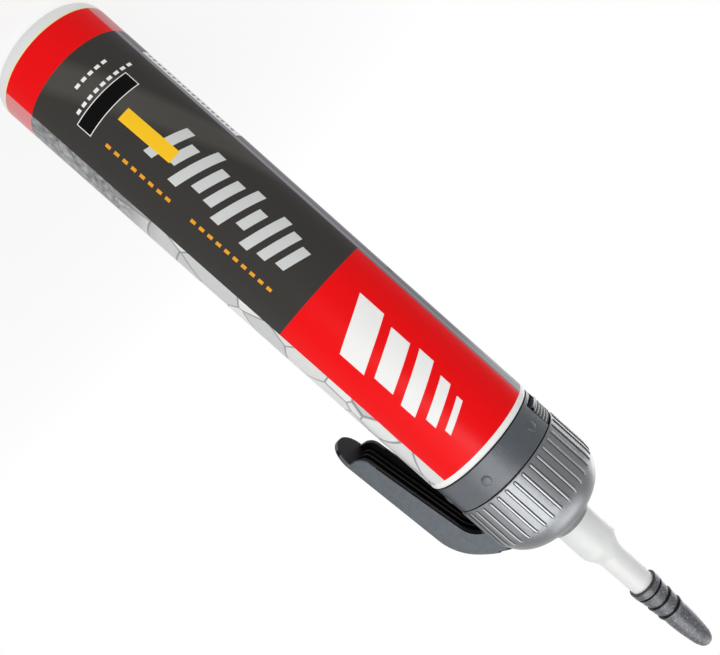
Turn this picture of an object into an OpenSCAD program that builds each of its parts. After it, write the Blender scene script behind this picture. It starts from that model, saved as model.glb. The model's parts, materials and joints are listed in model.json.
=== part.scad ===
// Pressurised caulk can with a squeeze lever, a screw-on nozzle and a pointed cap.
// It stands upright on its base: Z runs from the base to the cap, and the lever lies along X.

/* [Can] */
// Outside diameter of the can's body
can_d = 50; // [46:0.5:56]
// Height of the body, from the ground to the step under the collar
can_h = 211.2; // [150:0.2:260]
// Radius of the rounded heel
heel_r = 4.4; // [3:0.1:6]
// Depth of the dish pressed into the base
dish_h = 8; // [6:0.1:11]
// Width of the step that carries the collar
step_w = 3.6; // [3:0.1:4.2]
// Inside diameter of the can's mouth
mouth_d = 25.4; // [24:0.1:26.4]
// Thickness of the rolled curl round the mouth
curl_t = 3; // [2.4:0.1:3.2]
// Diameter of the rubber filling plug in the base
plug_d = 6; // [4:0.1:9]

/* [Valve] */
// Thickness of the cup's sheet metal
cup_t = 0.5; // [0.3:0.05:0.6]
// Depth of the cup below the middle of the curl
cup_depth = 6.6; // [5.5:0.1:8]
// Outside diameter of the turret in the middle of the cup
turret_d = 14; // [12:0.1:16]
// Height of the turret above the cup's floor
turret_h = 4.6; // [3:0.1:5.2]
// Diameter of the stem's shaft
stem_d = 7.2; // [6:0.1:8]
// Diameter of the passage through the stem
passage_d = 4.2; // [3:0.1:4.8]
// Diameter of the stem's threaded spigot
spigot_d = 10.8; // [9.4:0.1:11.4]
// Height of the spigot above the flange
spigot_h = 12.8; // [9:0.1:16]
// Diameter of the flange that the lever presses
flange_d = 21; // [20:0.1:23]
// Thickness of the flange
flange_t = 2; // [1.4:0.1:2.4]
// Number of ports in the stem's foot
ports = 4; // [2:1:6]
// Travel of the stem when the lever is squeezed
travel = 2.4; // [1.5:0.1:2.7]

/* [Collar] */
// Height of the collar's skirt
collar_h = 11.9; // [11:0.1:16]
// Wall thickness of the collar
collar_t = 1.5; // [1.2:0.1:1.8]
// Width of the shadow gap under and over the collar
seam = 0.45; // [0.3:0.05:0.8]
// Number of round bumps on the skirt
bumps = 6; // [4:2:8]
// Diameter of a bump
bump_d = 4; // [2:0.1:6]
// Height of a bump above the skirt
bump_h = 0.35; // [0.2:0.05:0.6]
// Half of the window's angle
window_a = 15.2; // [10:0.1:20]

/* [Catch] */
// Gap under the catch, which it can be pushed down into
catch_gap = 2.1; // [1.8:0.1:3]
// Number of grip ridges on the catch
ridges = 5; // [3:1:7]
// Depth of the ridges
ridge_h = 0.5; // [0.2:0.05:0.7]
// How far the catch's lower end stands out past its top
bulge = 0.6; // [0.2:0.05:1]

/* [Knob] */
// Wall thickness of the knob
knob_t = 1.6; // [1.2:0.1:1.8]
// Height of the knob's straight side
flank_h = 15.9; // [14:0.1:20]
// Radius of the knob's rounded shoulder
dome_r = 15.5; // [13:0.1:15.8]
// Slope of the knob's top, below the neck
top_slope = 27; // [22:0.5:32]
// Radius at the foot of the neck
neck_foot_r = 11.3; // [10.6:0.1:12.5]
// Number of grip ribs
ribs = 38; // [20:2:44]
// Width of a grip rib
rib_w = 1.1; // [0.6:0.05:1.4]
// Height of a grip rib above the side
rib_h = 0.4; // [0.2:0.05:0.5]
// How far the ribs run up into the shoulder
rib_rise = 3.3; // [0:0.1:5]

/* [Lever] */
// Width of the lever
lever_w = 18.5; // [17:0.1:20]
// Thickness of the lever's outer skin
skin_t = 1.8; // [1.4:0.1:2.2]
// Thickness of the lever's side walls
side_t = 1.8; // [1.2:0.1:2.2]
// Height of the pivot above the knob's lower edge
pivot_h = 11.5; // [11:0.1:12.5]
// Distance of the pivot behind the can's axis
pivot_x = 17; // [15.5:0.1:17.2]
// Diameter of the lever's trunnions
trunnion_d = 4; // [3:0.1:4.6]
// Radius of the lever's outer bend
bend_r = 19.8; // [17:0.1:22]
// Radius of the lever's inner bend
inner_bend_r = 9; // [7.5:0.1:10.5]
// Outward lean of the lever's outer line, in degrees
lean = 3.1; // [2:0.1:5]
// Outward lean of the side walls' inner edge, in degrees
inner_lean = 6.6; // [5:0.1:8]
// Height of the pivot over the middle of the tongue's round end
reach = 51.9; // [40:0.1:70]
// Height of the middle ribs under the skin
mid_rib_h = 4.5; // [2:0.1:5.5]

/* [Nozzle] */
// Diameter of the nozzle's wide base
nozzle_d = 16.1; // [15.4:0.1:16.4]
// Height of the wide base above the knob's neck
base_h = 11.6; // [6:0.1:20]
// Diameter of the thin tube
tube_d = 10.5; // [9:0.1:11]
// Length of the thin tube up to the cap's seat
tube_len = 19.2; // [10:0.1:30]
// Length of the tip inside the cap
tip_len = 24.5; // [18:0.1:26]
// Diameter of the opening in the tip
tip_bore = 3.2; // [2:0.1:3.6]
// Wall thickness of the nozzle
nozzle_t = 1.5; // [1:0.1:1.8]

/* [Cap] */
// Diameter of the cap's mouth
cap_d = 12.4; // [12:0.1:13.4]
// Length of the cap
cap_len = 34.5; // [30:0.1:44]
// Height of the lip round the cap's mouth
lip_h = 3.4; // [2.5:0.1:4.5]
// Number of raised rings
rings = 3; // [1:1:3]
// Spacing of the raised rings
ring_pitch = 5; // [4:0.1:6]
// Diameter of the cap's body just above the rings
cap_body_d = 10; // [9.8:0.1:10.6]
// Diameter of the cap's body at its rounded tip
cap_tip_d = 7.6; // [7:0.1:8.4]

/* [Hidden] */
$fn = 96;
fit = 0.1;      // radial clearance of parts that sit in each other
run = 0.05;     // radial clearance of parts that run in each other
part_gap = 0.3; // clearance of neighbours that move past each other
big = 100;      // longer than any cut needs

can_r = can_d / 2;
ring_r = can_r - heel_r;
ring_w = 0.6;
dish_edge = 1.8;
step_r = can_r - step_w;
step_h = 2.8;
edge_r = 0.8;
mouth_r = mouth_d / 2;
curl_r = curl_t / 2;
mouth_neck_r = mouth_r + 1.3;
shoulder_w = step_r - mouth_neck_r;
shoulder_h = 7.4;
shoulder_r = shoulder_w < shoulder_h ? shoulder_w
           : (shoulder_w * shoulder_w + shoulder_h * shoulder_h) / (2 * shoulder_h);
shoulder_z = can_h + step_h + shoulder_h - shoulder_r;
shoulder_a = shoulder_w < shoulder_h ? 0 : 90 - asin(shoulder_w / shoulder_r);
curl_foot = 3.2;
curl_z = can_h + step_h + shoulder_h + curl_foot;

skirt_r = can_r - 0.3;
skirt_in = skirt_r - collar_t;
skirt_z = can_h + seam;
collar_top = skirt_z + collar_h;
web_t = 1.5;
web_z = collar_top - 0.8 - web_t;

knob_r = can_r - 0.5;
knob_in = knob_r - knob_t;
knob_z = collar_top + seam;
dome_z = knob_z + flank_h;
dome_c = knob_r - dome_r;
dome_a = 90 - top_slope;
neck_foot_z = dome_z + dome_r * sin(dome_a)
            + (dome_c + dome_r * cos(dome_a) - neck_foot_r) * tan(top_slope);
nozzle_r = nozzle_d / 2;
neck_bore = nozzle_r + fit;
lip_w = 0.45;
lip_z = neck_foot_z + neck_foot_r - neck_bore - lip_w;
sleeve_r = neck_bore + 1.4;
sleeve_z = dome_z + dome_r - 3.4;
clip_z = knob_z + 1.8;
clip_t = 1.7;
clip_r = knob_in - 1;

cup_z = curl_z - cup_depth;
cup_in = mouth_r - run - cup_t;
turret_r = turret_d / 2;
grommet_hole = turret_r - 2.25;
stem_r = stem_d / 2;
foot_r = stem_r + 1.6;
foot_t = 1.5;
port_r = 1.2;
spigot_r = spigot_d / 2;
flange_r = flange_d / 2;
pivot_z = knob_z + pivot_h;
flange_z = pivot_z - 0.35;
grommet_z = cup_z - 3;
grommet_top = flange_z - flange_t - travel - 0.6;
foot_z = grommet_z - run;
well_z = foot_z - foot_t - travel - 1;

lever_y = lever_w / 2;
slot_y = lever_y + part_gap;
fork_in = nozzle_r + 0.35;
fork_t = 2;
fork_out = fork_in + fork_t;
ear_in = fork_out + part_gap;
ear_t = 2;
fork_r = knob_in - 0.4;
trunnion_r = trunnion_d / 2;
hub_r = trunnion_r + 1.6;
pad_r = 2;
pad_z = flange_z + 0.15 + pad_r;

nozzle_z = flange_z + 0.2;
base_top = lip_z + base_h;
tube_r = tube_d / 2;
tube_z = base_top + 6.6;
seat_z = tube_z + tube_len;
seat_r = tube_r - 0.23;
tip_r = seat_r - 0.72;
tip_end_r = 2.6;
tip_z = seat_z + tip_len;

cap_z = seat_z - 3.1;
cap_r = cap_d / 2;
cap_top = cap_z + cap_len;

// Points of an arc round [x, z], from angle a0 to angle a1.
function arc(x, z, r, a0, a1, n = 8) =
    [for (i = [0:n]) let (a = a0 + (a1 - a0) * i / n) [x + r * cos(a), z + r * sin(a)]];

// The point a length further on in a heading, and the points of a bend that starts in a heading,
// its first point left out. A bend turns right by the angle a, or left where r and a are negative.
function ahead(p, heading, length) = p + length * [cos(heading), sin(heading)];
function bend(p, heading, r, a, n = 10) =
    [for (i = [1:n]) let (h = heading - a * i / n)
        p + r * [sin(heading), -cos(heading)] + r * [-sin(h), cos(h)]];
function last(points) = points[len(points) - 1];

// A ring sector from the angle -half to half about the X axis, of the outline in radius and height.
module sector(half, outline) {
    rotate([0, 0, -half]) rotate_extrude(angle = 2 * half) polygon(outline);
}

// Block between two heights, on one side of the Y = 0 plane.
module side_block(x0, x1, y0, y1, z0, z1, side) {
    translate([x0, side > 0 ? y0 : -y1, z0]) cube([x1 - x0, y1 - y0, z1 - z0]);
}

// Upright outline in X and Z, as a plate from y0 to y1.
module plate(outline, y0, y1) {
    translate([0, y1, 0]) rotate([90, 0, 0]) linear_extrude(y1 - y0) polygon(outline);
}

// Drawn and ironed can: dished base, rounded heel, straight body, collar step, domed shoulder
// and a rolled curl. It is closed and full, so only the well for the valve is open.
module can() {
    dish_r = ring_r - ring_w - dish_edge;
    dish_rise = dish_h - dish_edge;
    dish_radius = (dish_r * dish_r + dish_rise * dish_rise) / (2 * dish_rise);
    dish_a = asin(dish_r / dish_radius);
    color([0.80, 0.10, 0.12]) difference() {
        rotate_extrude() polygon(concat(
            arc(0, dish_h - dish_radius, dish_radius, 90, 90 - dish_a),
            arc(ring_r - ring_w, dish_edge, dish_edge, 180, 270, 5),
            arc(ring_r, heel_r, heel_r, 270, 360, 10),
            arc(can_r - edge_r, can_h - edge_r, edge_r, 0, 90, 4),
            [[step_r, can_h]],
            arc(mouth_neck_r, shoulder_z, shoulder_r, shoulder_a, 90, 10),
            arc(mouth_r + curl_r, curl_z, curl_r, -97, 180, 16),
            [[mouth_r, well_z], [0, well_z]]));
        translate([0, 0, dish_h - dish_edge]) cylinder(r = plug_d / 2, h = 4 + dish_edge);
    }
}

// Rubber plug that closes the filling hole, with a low round head inside the dish.
module base_plug() {
    head_r = plug_d / 2 + 2;
    dish_r = ring_r - ring_w - dish_edge;
    dish_rise = dish_h - dish_edge;
    dish_radius = (dish_r * dish_r + dish_rise * dish_rise) / (2 * dish_rise);
    head_z = dish_h - dish_radius + sqrt(dish_radius * dish_radius - head_r * head_r);
    color([0.08, 0.08, 0.08]) rotate_extrude() polygon([
        [0, head_z - 1.6], [head_r - 0.6, head_z - 1.6], [head_r, head_z - 1],
        [head_r, head_z - run], [plug_d / 2 - run, head_z - run],
        [plug_d / 2 - run, dish_h + 3.4], [0, dish_h + 3.4]]);
}

// Pressed sheet-metal cup: a channel over the curl, a sunk floor and a turret that grips the grommet.
module valve_cup() {
    c = mouth_r + curl_r;
    r_in = curl_r + run;
    r_out = r_in + cup_t;
    turret_z = cup_z + turret_h;
    color([0.78, 0.70, 0.42]) rotate_extrude() polygon(concat(
        [[c + r_in, curl_z - 1], [c + r_out, curl_z - 1]],
        arc(c, curl_z, r_out, 0, 180, 14),
        [[cup_in, cup_z + cup_t], [turret_r, cup_z + cup_t], [turret_r, turret_z],
         [grommet_hole, turret_z], [grommet_hole, turret_z - cup_t],
         [turret_r - cup_t, turret_z - cup_t], [turret_r - cup_t, cup_z],
         [cup_in + cup_t, cup_z]],
        arc(c, curl_z, r_in, 180, 0, 14)));
}

// Thick rubber grommet, buttoned into the turret. It seals round the stem and pushes it back up.
module valve_grommet() {
    turret_z = cup_z + turret_h;
    body_r = turret_r - cup_t - fit;
    color([0.12, 0.12, 0.13]) rotate_extrude() polygon([
        [stem_r + run, grommet_z], [body_r - 0.6, grommet_z], [body_r, grommet_z + 0.6],
        [body_r, turret_z - cup_t - run], [grommet_hole - run, turret_z - cup_t - run],
        [grommet_hole - run, turret_z + run], [turret_r + 0.4, turret_z + run],
        [turret_r + 0.4, turret_z + 2], [stem_r + 2.4, grommet_top], [stem_r + run, grommet_top]]);
}

// Stem: a foot that shuts under the grommet, a hollow shaft with ports, the flange that the
// lever presses, and the spigot that the nozzle screws on.
module valve_stem() {
    port_z = grommet_z + port_r + 0.25;
    passage_z = port_z - port_r;
    color([0.92, 0.92, 0.88]) difference() {
        union() {
            translate([0, 0, foot_z - foot_t]) cylinder(r = foot_r, h = foot_t);
            translate([0, 0, foot_z - 0.5]) cylinder(r = stem_r, h = flange_z - foot_z);
            translate([0, 0, flange_z - flange_t]) cylinder(r = flange_r, h = flange_t);
            translate([0, 0, flange_z - 0.5]) cylinder(r = spigot_r, h = spigot_h + 0.5);
        }
        translate([0, 0, passage_z]) cylinder(d = passage_d, h = big);
        for (i = [0:ports - 1])
            rotate([0, 0, i * 360 / ports + 15]) translate([0, 0, port_z])
                rotate([0, 90, 0]) cylinder(r = port_r, h = stem_r + 1);
    }
}

// One round bump: a shallow disc with a sloping edge that stands out of the skirt.
module bump() {
    root = 0.5;
    translate([skirt_r - root, 0, skirt_z + 6.2]) rotate([0, 90, 0])
        cylinder(r1 = bump_d / 2 + root, r2 = bump_d / 2 - bump_h, h = root + bump_h);
}

// Collar: a skirt on the can's step, a web, a ring that snaps over the cup's rim, and an
// upstand with the groove that the knob's clip turns in. The window at the back holds the catch.
module collar() {
    groove_r = clip_r - part_gap;
    ledge_r = knob_in - 0.5;
    bead_r = knob_in - 0.6;
    cup_rim = mouth_r + curl_r * 2 + run + cup_t;
    snap_in = cup_rim + fit;
    snap_out = min(snap_in + 1.45, groove_r);
    stand_in = max(groove_r - 1.4, snap_in);
    groove_z = clip_z - 0.2;
    bead_z = clip_z + clip_t + part_gap;
    hook_z = curl_z - 1 - part_gap;
    color([0.27, 0.30, 0.33]) difference() {
        union() {
            rotate_extrude() polygon([
                [step_r + fit, can_h], [can_r - 1.4, can_h], [can_r - 1.4, skirt_z],
                [skirt_r, skirt_z], [skirt_r, collar_top], [skirt_in, collar_top],
                [skirt_in, web_z + web_t], [ledge_r, web_z + web_t], [ledge_r, groove_z],
                [groove_r, groove_z], [groove_r, bead_z], [bead_r, bead_z],
                [bead_r, bead_z + 0.7], [bead_r - 0.5, bead_z + 1.2], [stand_in, bead_z + 1.2],
                [stand_in, web_z + web_t], [snap_in, web_z + web_t], [snap_in, web_z],
                [skirt_in, web_z], [skirt_in, skirt_z + 1.3], [step_r + fit, skirt_z + 1.3]]);
            rotate_extrude() polygon([
                [snap_out, web_z], [snap_out, curl_z + 2], [snap_in, curl_z + 2],
                [snap_in, hook_z], [snap_in - 0.4, hook_z - 0.3],
                [snap_in - 0.4, hook_z - 0.8], [snap_in, hook_z - 1.2], [snap_in, web_z]]);
            for (i = [0:bumps - 1]) rotate([0, 0, (i + 0.5) * 360 / bumps]) bump();
        }
        rotate([0, 0, 180]) sector(window_a, [
            [skirt_in - 0.1, skirt_z + 1.4], [can_r + 1, skirt_z + 1.4],
            [can_r + 1, collar_top + 1], [skirt_in - 0.1, collar_top + 1]]);
    }
}

// Catch: a serrated thumb tab in the window, kept in by two wings behind the skirt.
module catch() {
    low = skirt_z + 1.4 + catch_gap;
    high = collar_top - 0.4;
    wing_top = web_z - part_gap;
    back_r = step_r + 0.5;
    front_a = window_a - 1.4;
    grip_z = low + 1;
    pitch = (high - grip_z) / ridges;
    top_r = skirt_r - 0.2;
    color([0.30, 0.32, 0.36]) rotate([0, 0, 180]) difference() {
        union() {
            sector(front_a, concat(
                [[back_r, low], [top_r - 0.2, low], [top_r + 0.2, low + 0.3]],
                [for (i = [0:ridges - 1], edge = [0, 1])
                    let (r = top_r + bulge * (1 - i / (ridges - 1)))
                    [r - ridge_h * edge, grip_z + (i + 0.25 + 0.5 * edge) * pitch]],
                [[top_r, high], [skirt_in + 0.15, high], [skirt_in + 0.15, wing_top],
                 [back_r, wing_top]]));
            sector(front_a + 4, [
                [back_r + 0.2, low + 0.2], [skirt_in - 0.15, low + 0.2],
                [skirt_in - 0.15, wing_top - 0.2], [back_r + 0.2, wing_top - 0.2]]);
        }
        for (side = [-1, 1]) rotate([0, 0, side * front_a])
            translate([skirt_in - 0.1, 0, low + 1.2]) rotate([side * 38, 0, 0])
                translate([0, side > 0 ? -3 : 0, -6]) cube([4, 3, 6]);
    }
}

// Outer form of the knob, drawn in by off: the side, the rounded shoulder and the cone to the neck.
function knob_outline(off) = concat(
    [[knob_r - off, knob_z]],
    arc(dome_c, dome_z, dome_r - off, 0, dome_a, 14),
    [[neck_foot_r - off * tan(top_slope / 2), neck_foot_z - off]]);

// Section of a grip rib, whose foot lies at the radius r: a low bead with sloping flanks.
function rib_section(r) = [
    [r - 0.6, -rib_w / 2], [r + rib_h * 0.4, -rib_w / 2], [r + rib_h, -rib_w * 0.2],
    [r + rib_h, rib_w * 0.2], [r + rib_h * 0.4, rib_w / 2], [r - 0.6, rib_w / 2]];

// One grip rib: straight up the knob's side, then round with the shoulder.
module rib() {
    low = knob_z + 0.65;
    translate([0, 0, low]) linear_extrude(dome_z - low) polygon(rib_section(knob_r));
    translate([dome_c, 0, dome_z]) rotate([90, 0, 0])
        rotate_extrude(angle = asin(rib_rise / dome_r)) polygon(rib_section(dome_r));
}

// Knob: a thin metallic dome with grip ribs, the slot for the lever, a sleeve round the nozzle,
// a clip that turns in the collar's groove, and two ears with bores for the lever's trunnions.
module knob() {
    slot_low = clip_z + clip_t + part_gap + 2.2;
    color([0.66, 0.67, 0.70]) difference() {
        union() {
            rotate_extrude() polygon(concat(
                knob_outline(0),
                [[neck_bore + lip_w, lip_z], [neck_bore, lip_z], [neck_bore, sleeve_z],
                 [sleeve_r, sleeve_z]],
                [for (i = [len(knob_outline(knob_t)) - 1:-1:1])
                    let (p = knob_outline(knob_t)[i]) [max(p[0], sleeve_r), p[1]]],
                [[knob_in, clip_z + clip_t + 0.3], [clip_r, clip_z + clip_t], [clip_r, clip_z],
                 [knob_in, clip_z], [knob_in, knob_z]]));
            intersection() {
                for (side = [-1, 1]) union() {
                    side_block(-pivot_x - hub_r, -pivot_x + hub_r, ear_in, ear_in + ear_t,
                               pivot_z, dome_z + dome_r, side);
                    translate([-pivot_x, side * (ear_in + ear_t / 2), pivot_z])
                        rotate([90, 0, 0]) cylinder(r = hub_r, h = ear_t, center = true);
                }
                rotate_extrude() polygon(concat(
                    knob_outline(knob_t / 2), [[0, neck_foot_z], [0, knob_z]]));
            }
            for (i = [0:ribs - 1]) rotate([0, 0, i * 360 / ribs]) rib();
        }
        plate([[root_x - 0.5, slot_low], [can_r + 3, slot_low], [can_r + 3, root_z - 2],
               [root_x + 4, root_z - 4 * tan(root_slope) + part_gap],
               [root_x - 0.5, root_z + 0.5 * tan(root_slope) + part_gap]], -slot_y, slot_y);
        translate([-pivot_x, 0, pivot_z]) rotate([90, 0, 0])
            cylinder(r = trunnion_r + run, h = 2 * (ear_in + ear_t + run), center = true);
    }
}

// The lever's outer line leaves the dome at [root_x, root_z] and slopes down at root_slope.
root_slope = 23.3;
root_x = knob_r - 5.7;
root_z = dome_z + sqrt(dome_r * dome_r - pow(sqrt(root_x * root_x + lever_y * lever_y) - dome_c, 2));
slot_end = root_x - 0.1;
crown_r = 41;
crown_a = 20.5;
inner_slope = 21.3;
tongue_z = pivot_z - reach;

// Outer line of the lever, drawn in by off, from the dome down past the tongue.
function outer_line(off) =
    let (start = [root_x, root_z] - off * [sin(root_slope), cos(root_slope)],
         brow = ahead(start, -root_slope, 2.1),
         crown = bend(brow, -root_slope, crown_r - off, crown_a),
         turn = bend(last(crown), -root_slope - crown_a, bend_r - off,
                     90 - lean - root_slope - crown_a),
         low = ahead(last(turn), lean - 90, (last(turn)[1] - tongue_z + lever_y) / cos(lean)))
    concat([[slot_end, start[1] + (start[0] - slot_end) * tan(root_slope)], brow],
           crown, turn, [low]);

// X of the skin's straight part at the height z, drawn in by off.
function skin_x(z, off) =
    let (foot = outer_line(off)[len(outer_line(off)) - 2]) foot[0] + (foot[1] - z) * tan(lean);

// Inner edge of the side walls, drawn in towards the skin by off, down to the rounded lower end.
function inner_line(off) =
    let (start = [knob_r - 1.4, pivot_z + 1.4] + off * [sin(inner_slope), cos(inner_slope)],
         turn = bend(start, -inner_slope, inner_bend_r + off, 90 - inner_lean - inner_slope),
         low = ahead(last(turn), inner_lean - 90,
                     (last(turn)[1] - tongue_z - 4.2) / cos(inner_lean)),
         corner = bend(low, inner_lean - 90, off - 5, -72),
         end_z = last(corner)[1] - 0.6)
    concat([start], turn, [low], corner, [[skin_x(end_z, skin_t / 2), end_z]]);

// One arm of the lever's fork, from the yoke at x1 back to the pivot, with its rounded pad and hub.
module fork_arm(side, x1, top) {
    arm_z = pad_z - 0.7;
    plate([[x1, pivot_z + 2.5], [pad_r + 6, arm_z], [-pad_r - 6, arm_z],
           [-pivot_x, pivot_z - hub_r + 0.6], [-pivot_x, pivot_z + hub_r - 0.2],
           [-pad_r, arm_z + 5], [x1, top]],
          side > 0 ? fork_in : -fork_out, side > 0 ? fork_out : -fork_in);
    for (spot = [[0, pad_z, pad_r], [-pivot_x, pivot_z, hub_r]])
        translate([spot[0], side * (fork_in + fork_t / 2), spot[1]])
            rotate([90, 0, 0]) cylinder(r = spot[2], h = fork_t, center = true);
}

// Lever: a channel with a thin skin, two side walls and three lower ribs, ending in a flat
// tongue. Inside the knob it divides into a fork round the nozzle, with a pad and a trunnion
// on each arm.
module lever() {
    wall_top = root_z - 2.8;
    wall_end_x = knob_r + 0.5;
    yoke_x = 12;
    slot_x = root_x - 0.5;
    outer = outer_line(skin_t / 2);
    strip = concat(outer_line(0),
                   [for (i = [len(outer_line(skin_t)) - 1:-1:0]) outer_line(skin_t)[i]]);
    function filled(off) = concat(
        [for (i = [0:len(outer) - 2]) outer[i]],
        [for (i = [len(inner_line(off)) - 1:-1:0]) inner_line(off)[i]],
        [[root_x, pivot_z + 1.6 + off]]);
    color([0.36, 0.38, 0.41]) difference() {
        union() {
            intersection() {
                plate(strip, -lever_y, lever_y);
                union() {
                    translate([0, -lever_y, tongue_z]) cube([big, lever_w, big]);
                    translate([0, 0, tongue_z]) rotate([0, 90, 0]) cylinder(r = lever_y, h = big);
                }
            }
            for (side = [-1, 1])
                plate(filled(0), side > 0 ? lever_y - side_t : -lever_y,
                      side > 0 ? lever_y : side_t - lever_y);
            for (y = [-1, 0, 1] * (lever_y - side_t) / 2)
                plate(filled(6.5 - mid_rib_h), y - 0.6, y + 0.6);
            plate([[yoke_x + 3, wall_top - 0.6], [root_x + 0.4, wall_top - 0.6],
                   [root_x + 0.4, root_z - 0.8], [root_x + 4, root_z - 2.6],
                   [root_x + 4, pivot_z + 5], [root_x, pivot_z + 2], [yoke_x + 3, pivot_z + 2.5]],
                  -fork_in, fork_in);
            plate([[yoke_x, pivot_z + 2.5], [slot_x - 1.2, pivot_z + 2.5],
                   [slot_x - 1.2, wall_top - 0.6], [yoke_x, wall_top - 0.6]],
                  -fork_out, fork_out);
            plate([[slot_x - 1.3, pivot_z + 2.5], [root_x + 2, pivot_z + 2],
                   [root_x + 2, wall_top - 0.6], [slot_x - 1.3, wall_top - 0.6]],
                  -lever_y, lever_y);
            intersection() {
                for (side = [-1, 1]) fork_arm(side, yoke_x + 2, wall_top - 0.6);
                cylinder(r = fork_r, h = big * 3);
            }
            for (side = [-1, 1])
                translate([-pivot_x, side * (fork_out - 0.5), pivot_z]) rotate([side * -90, 0, 0])
                    cylinder(r = trunnion_r, h = 0.5 + part_gap + ear_t - fit);
        }
        for (side = [-1, 1])
            side_block(root_x - 1.4, wall_end_x, fork_in, lever_y + 1, wall_top, root_z + 1, side);
    }
}

// Nozzle: a wide threaded base, a rounded shoulder, a slightly tapered tube and the tip in the cap.
module nozzle() {
    shoulder_a = 35;
    round_r = 4.5;
    rise = base_top - 1.3;
    color([0.93, 0.93, 0.92]) union() {
        rotate_extrude() polygon(concat(
            [[spigot_r + run, nozzle_z], [nozzle_r, nozzle_z]],
            arc(nozzle_r - round_r, rise, round_r, 0, shoulder_a, 5),
            [[tube_r + 0.4, base_top + 4.6], [tube_r, tube_z],
             [seat_r, seat_z], [tip_r, seat_z + 0.7],
             [tip_end_r, tip_z - 0.6], [tip_end_r - 0.3, tip_z],
             [tip_bore / 2, tip_z], [tip_r - nozzle_t, seat_z + 1.2],
             [tube_r - nozzle_t, tube_z],
             [nozzle_r - nozzle_t, base_top - 0.6],
             [nozzle_r - nozzle_t, flange_z + spigot_h + 1.6],
             [spigot_r + run, flange_z + spigot_h + 1]]));
        rotate([0, 0, 158]) translate([nozzle_r - 2.2, -0.5, rise - 1])
            cube([2.15, 1, 3.4]);
    }
}

// Cap: a thin pointed thimble with a lip round its mouth and raised rings, pushed onto the nozzle.
module nozzle_cap() {
    first = cap_z + lip_h + 1.15;
    grow = [for (k = [0:rings - 1]) cap_r - 0.24 - k * 0.21];
    end_z = first + (rings - 1) * ring_pitch + 3.2;
    tip_c = cap_top - cap_tip_d / 2 + 0.4;
    bore_r = tip_r + fit;
    bore_end = tip_end_r + fit;
    color([0.34, 0.35, 0.38]) union() {
        rotate_extrude() polygon(concat(
            [[seat_r + fit, cap_z], [cap_r, cap_z], [cap_r, cap_z + lip_h],
             [cap_r - 0.5, cap_z + lip_h + 0.1]],
            [for (k = [0:rings - 1], p = [[-0.42, -0.45], [-0.05, -0.4], [0, 0], [-0.25, 0.8],
                                          [-0.33, 2.4]])
                let (r = grow[k] - (k == rings - 1 && p[1] > 2 ? 0.35 : 0))
                [r + p[0], first + k * ring_pitch + p[1]]],
            [[cap_body_d / 2, end_z]],
            arc(0, tip_c, cap_tip_d / 2 - 0.4, 28, 90, 8),
            [[0, tip_z + 1], [bore_end, tip_z + 0.4], [bore_r, seat_z + 0.9],
             [seat_r + fit, seat_z + 0.2]]));
    }
}

can();
base_plug();
valve_cup();
valve_grommet();
valve_stem();
collar();
catch();
knob();
lever();
nozzle();
nozzle_cap();
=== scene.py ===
import json
import math

import bmesh
import bpy
import numpy as np
from mathutils import Matrix, Vector


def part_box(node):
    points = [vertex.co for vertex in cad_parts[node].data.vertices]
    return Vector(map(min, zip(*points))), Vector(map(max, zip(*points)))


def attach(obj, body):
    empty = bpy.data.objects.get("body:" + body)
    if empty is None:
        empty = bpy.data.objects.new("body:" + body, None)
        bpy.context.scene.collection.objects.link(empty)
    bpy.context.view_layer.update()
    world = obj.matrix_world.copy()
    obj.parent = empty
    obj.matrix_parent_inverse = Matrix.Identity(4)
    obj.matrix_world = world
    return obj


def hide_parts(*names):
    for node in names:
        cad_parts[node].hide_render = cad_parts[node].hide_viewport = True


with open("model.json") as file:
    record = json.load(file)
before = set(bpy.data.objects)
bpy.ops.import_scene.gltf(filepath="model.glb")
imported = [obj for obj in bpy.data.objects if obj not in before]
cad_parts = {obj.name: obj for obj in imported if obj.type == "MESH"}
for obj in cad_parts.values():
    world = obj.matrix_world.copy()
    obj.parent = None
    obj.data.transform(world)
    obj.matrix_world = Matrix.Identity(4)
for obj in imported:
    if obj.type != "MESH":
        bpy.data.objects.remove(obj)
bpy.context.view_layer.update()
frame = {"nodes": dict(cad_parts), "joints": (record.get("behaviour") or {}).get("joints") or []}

# Can: a tube of tinplate, drawn in one piece with its dished base and its domed shoulder, whose curl
# carries the valve cup. Its lacquered print is plain fields of colour with strokes, stripes, tags and
# dotted lines, and a field of irregular cells over rubble on the back.
MM = 0.001
can_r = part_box("can")[1].x / MM
can_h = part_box("collar")[0].z / MM
curl_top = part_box("can")[1].z / MM
print_azimuth, panel_left, panel_right = -112.0, -25.96, 22.03
rim_top, band_top, charcoal_top, red_top = 5.64, 17.41, 131.44, 208.67
# Two of these are painted highlights, not inks: the charcoal sheen and the strip's gleam.
ink = {"red": (238, 16, 20), "charcoal": (54, 52, 50), "warm_charcoal": (64, 62, 59),
       "painted_charcoal_sheen": (104, 102, 96), "black": (9, 9, 9), "white": (240, 240, 238),
       "silver": (200, 202, 203), "pale_silver": (214, 215, 214), "yellow": (252, 200, 40),
       "pale_yellow": (250, 236, 170), "orange": (236, 160, 44), "steel": (196, 200, 202),
       "rim": (226, 229, 228), "cell": (150, 154, 156), "line": (120, 124, 126),
       "rubble": (112, 113, 115), "strip": (104, 101, 108), "painted_strip_gleam": (156, 152, 160),
       "label_edge": (70, 70, 74)}
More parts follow.
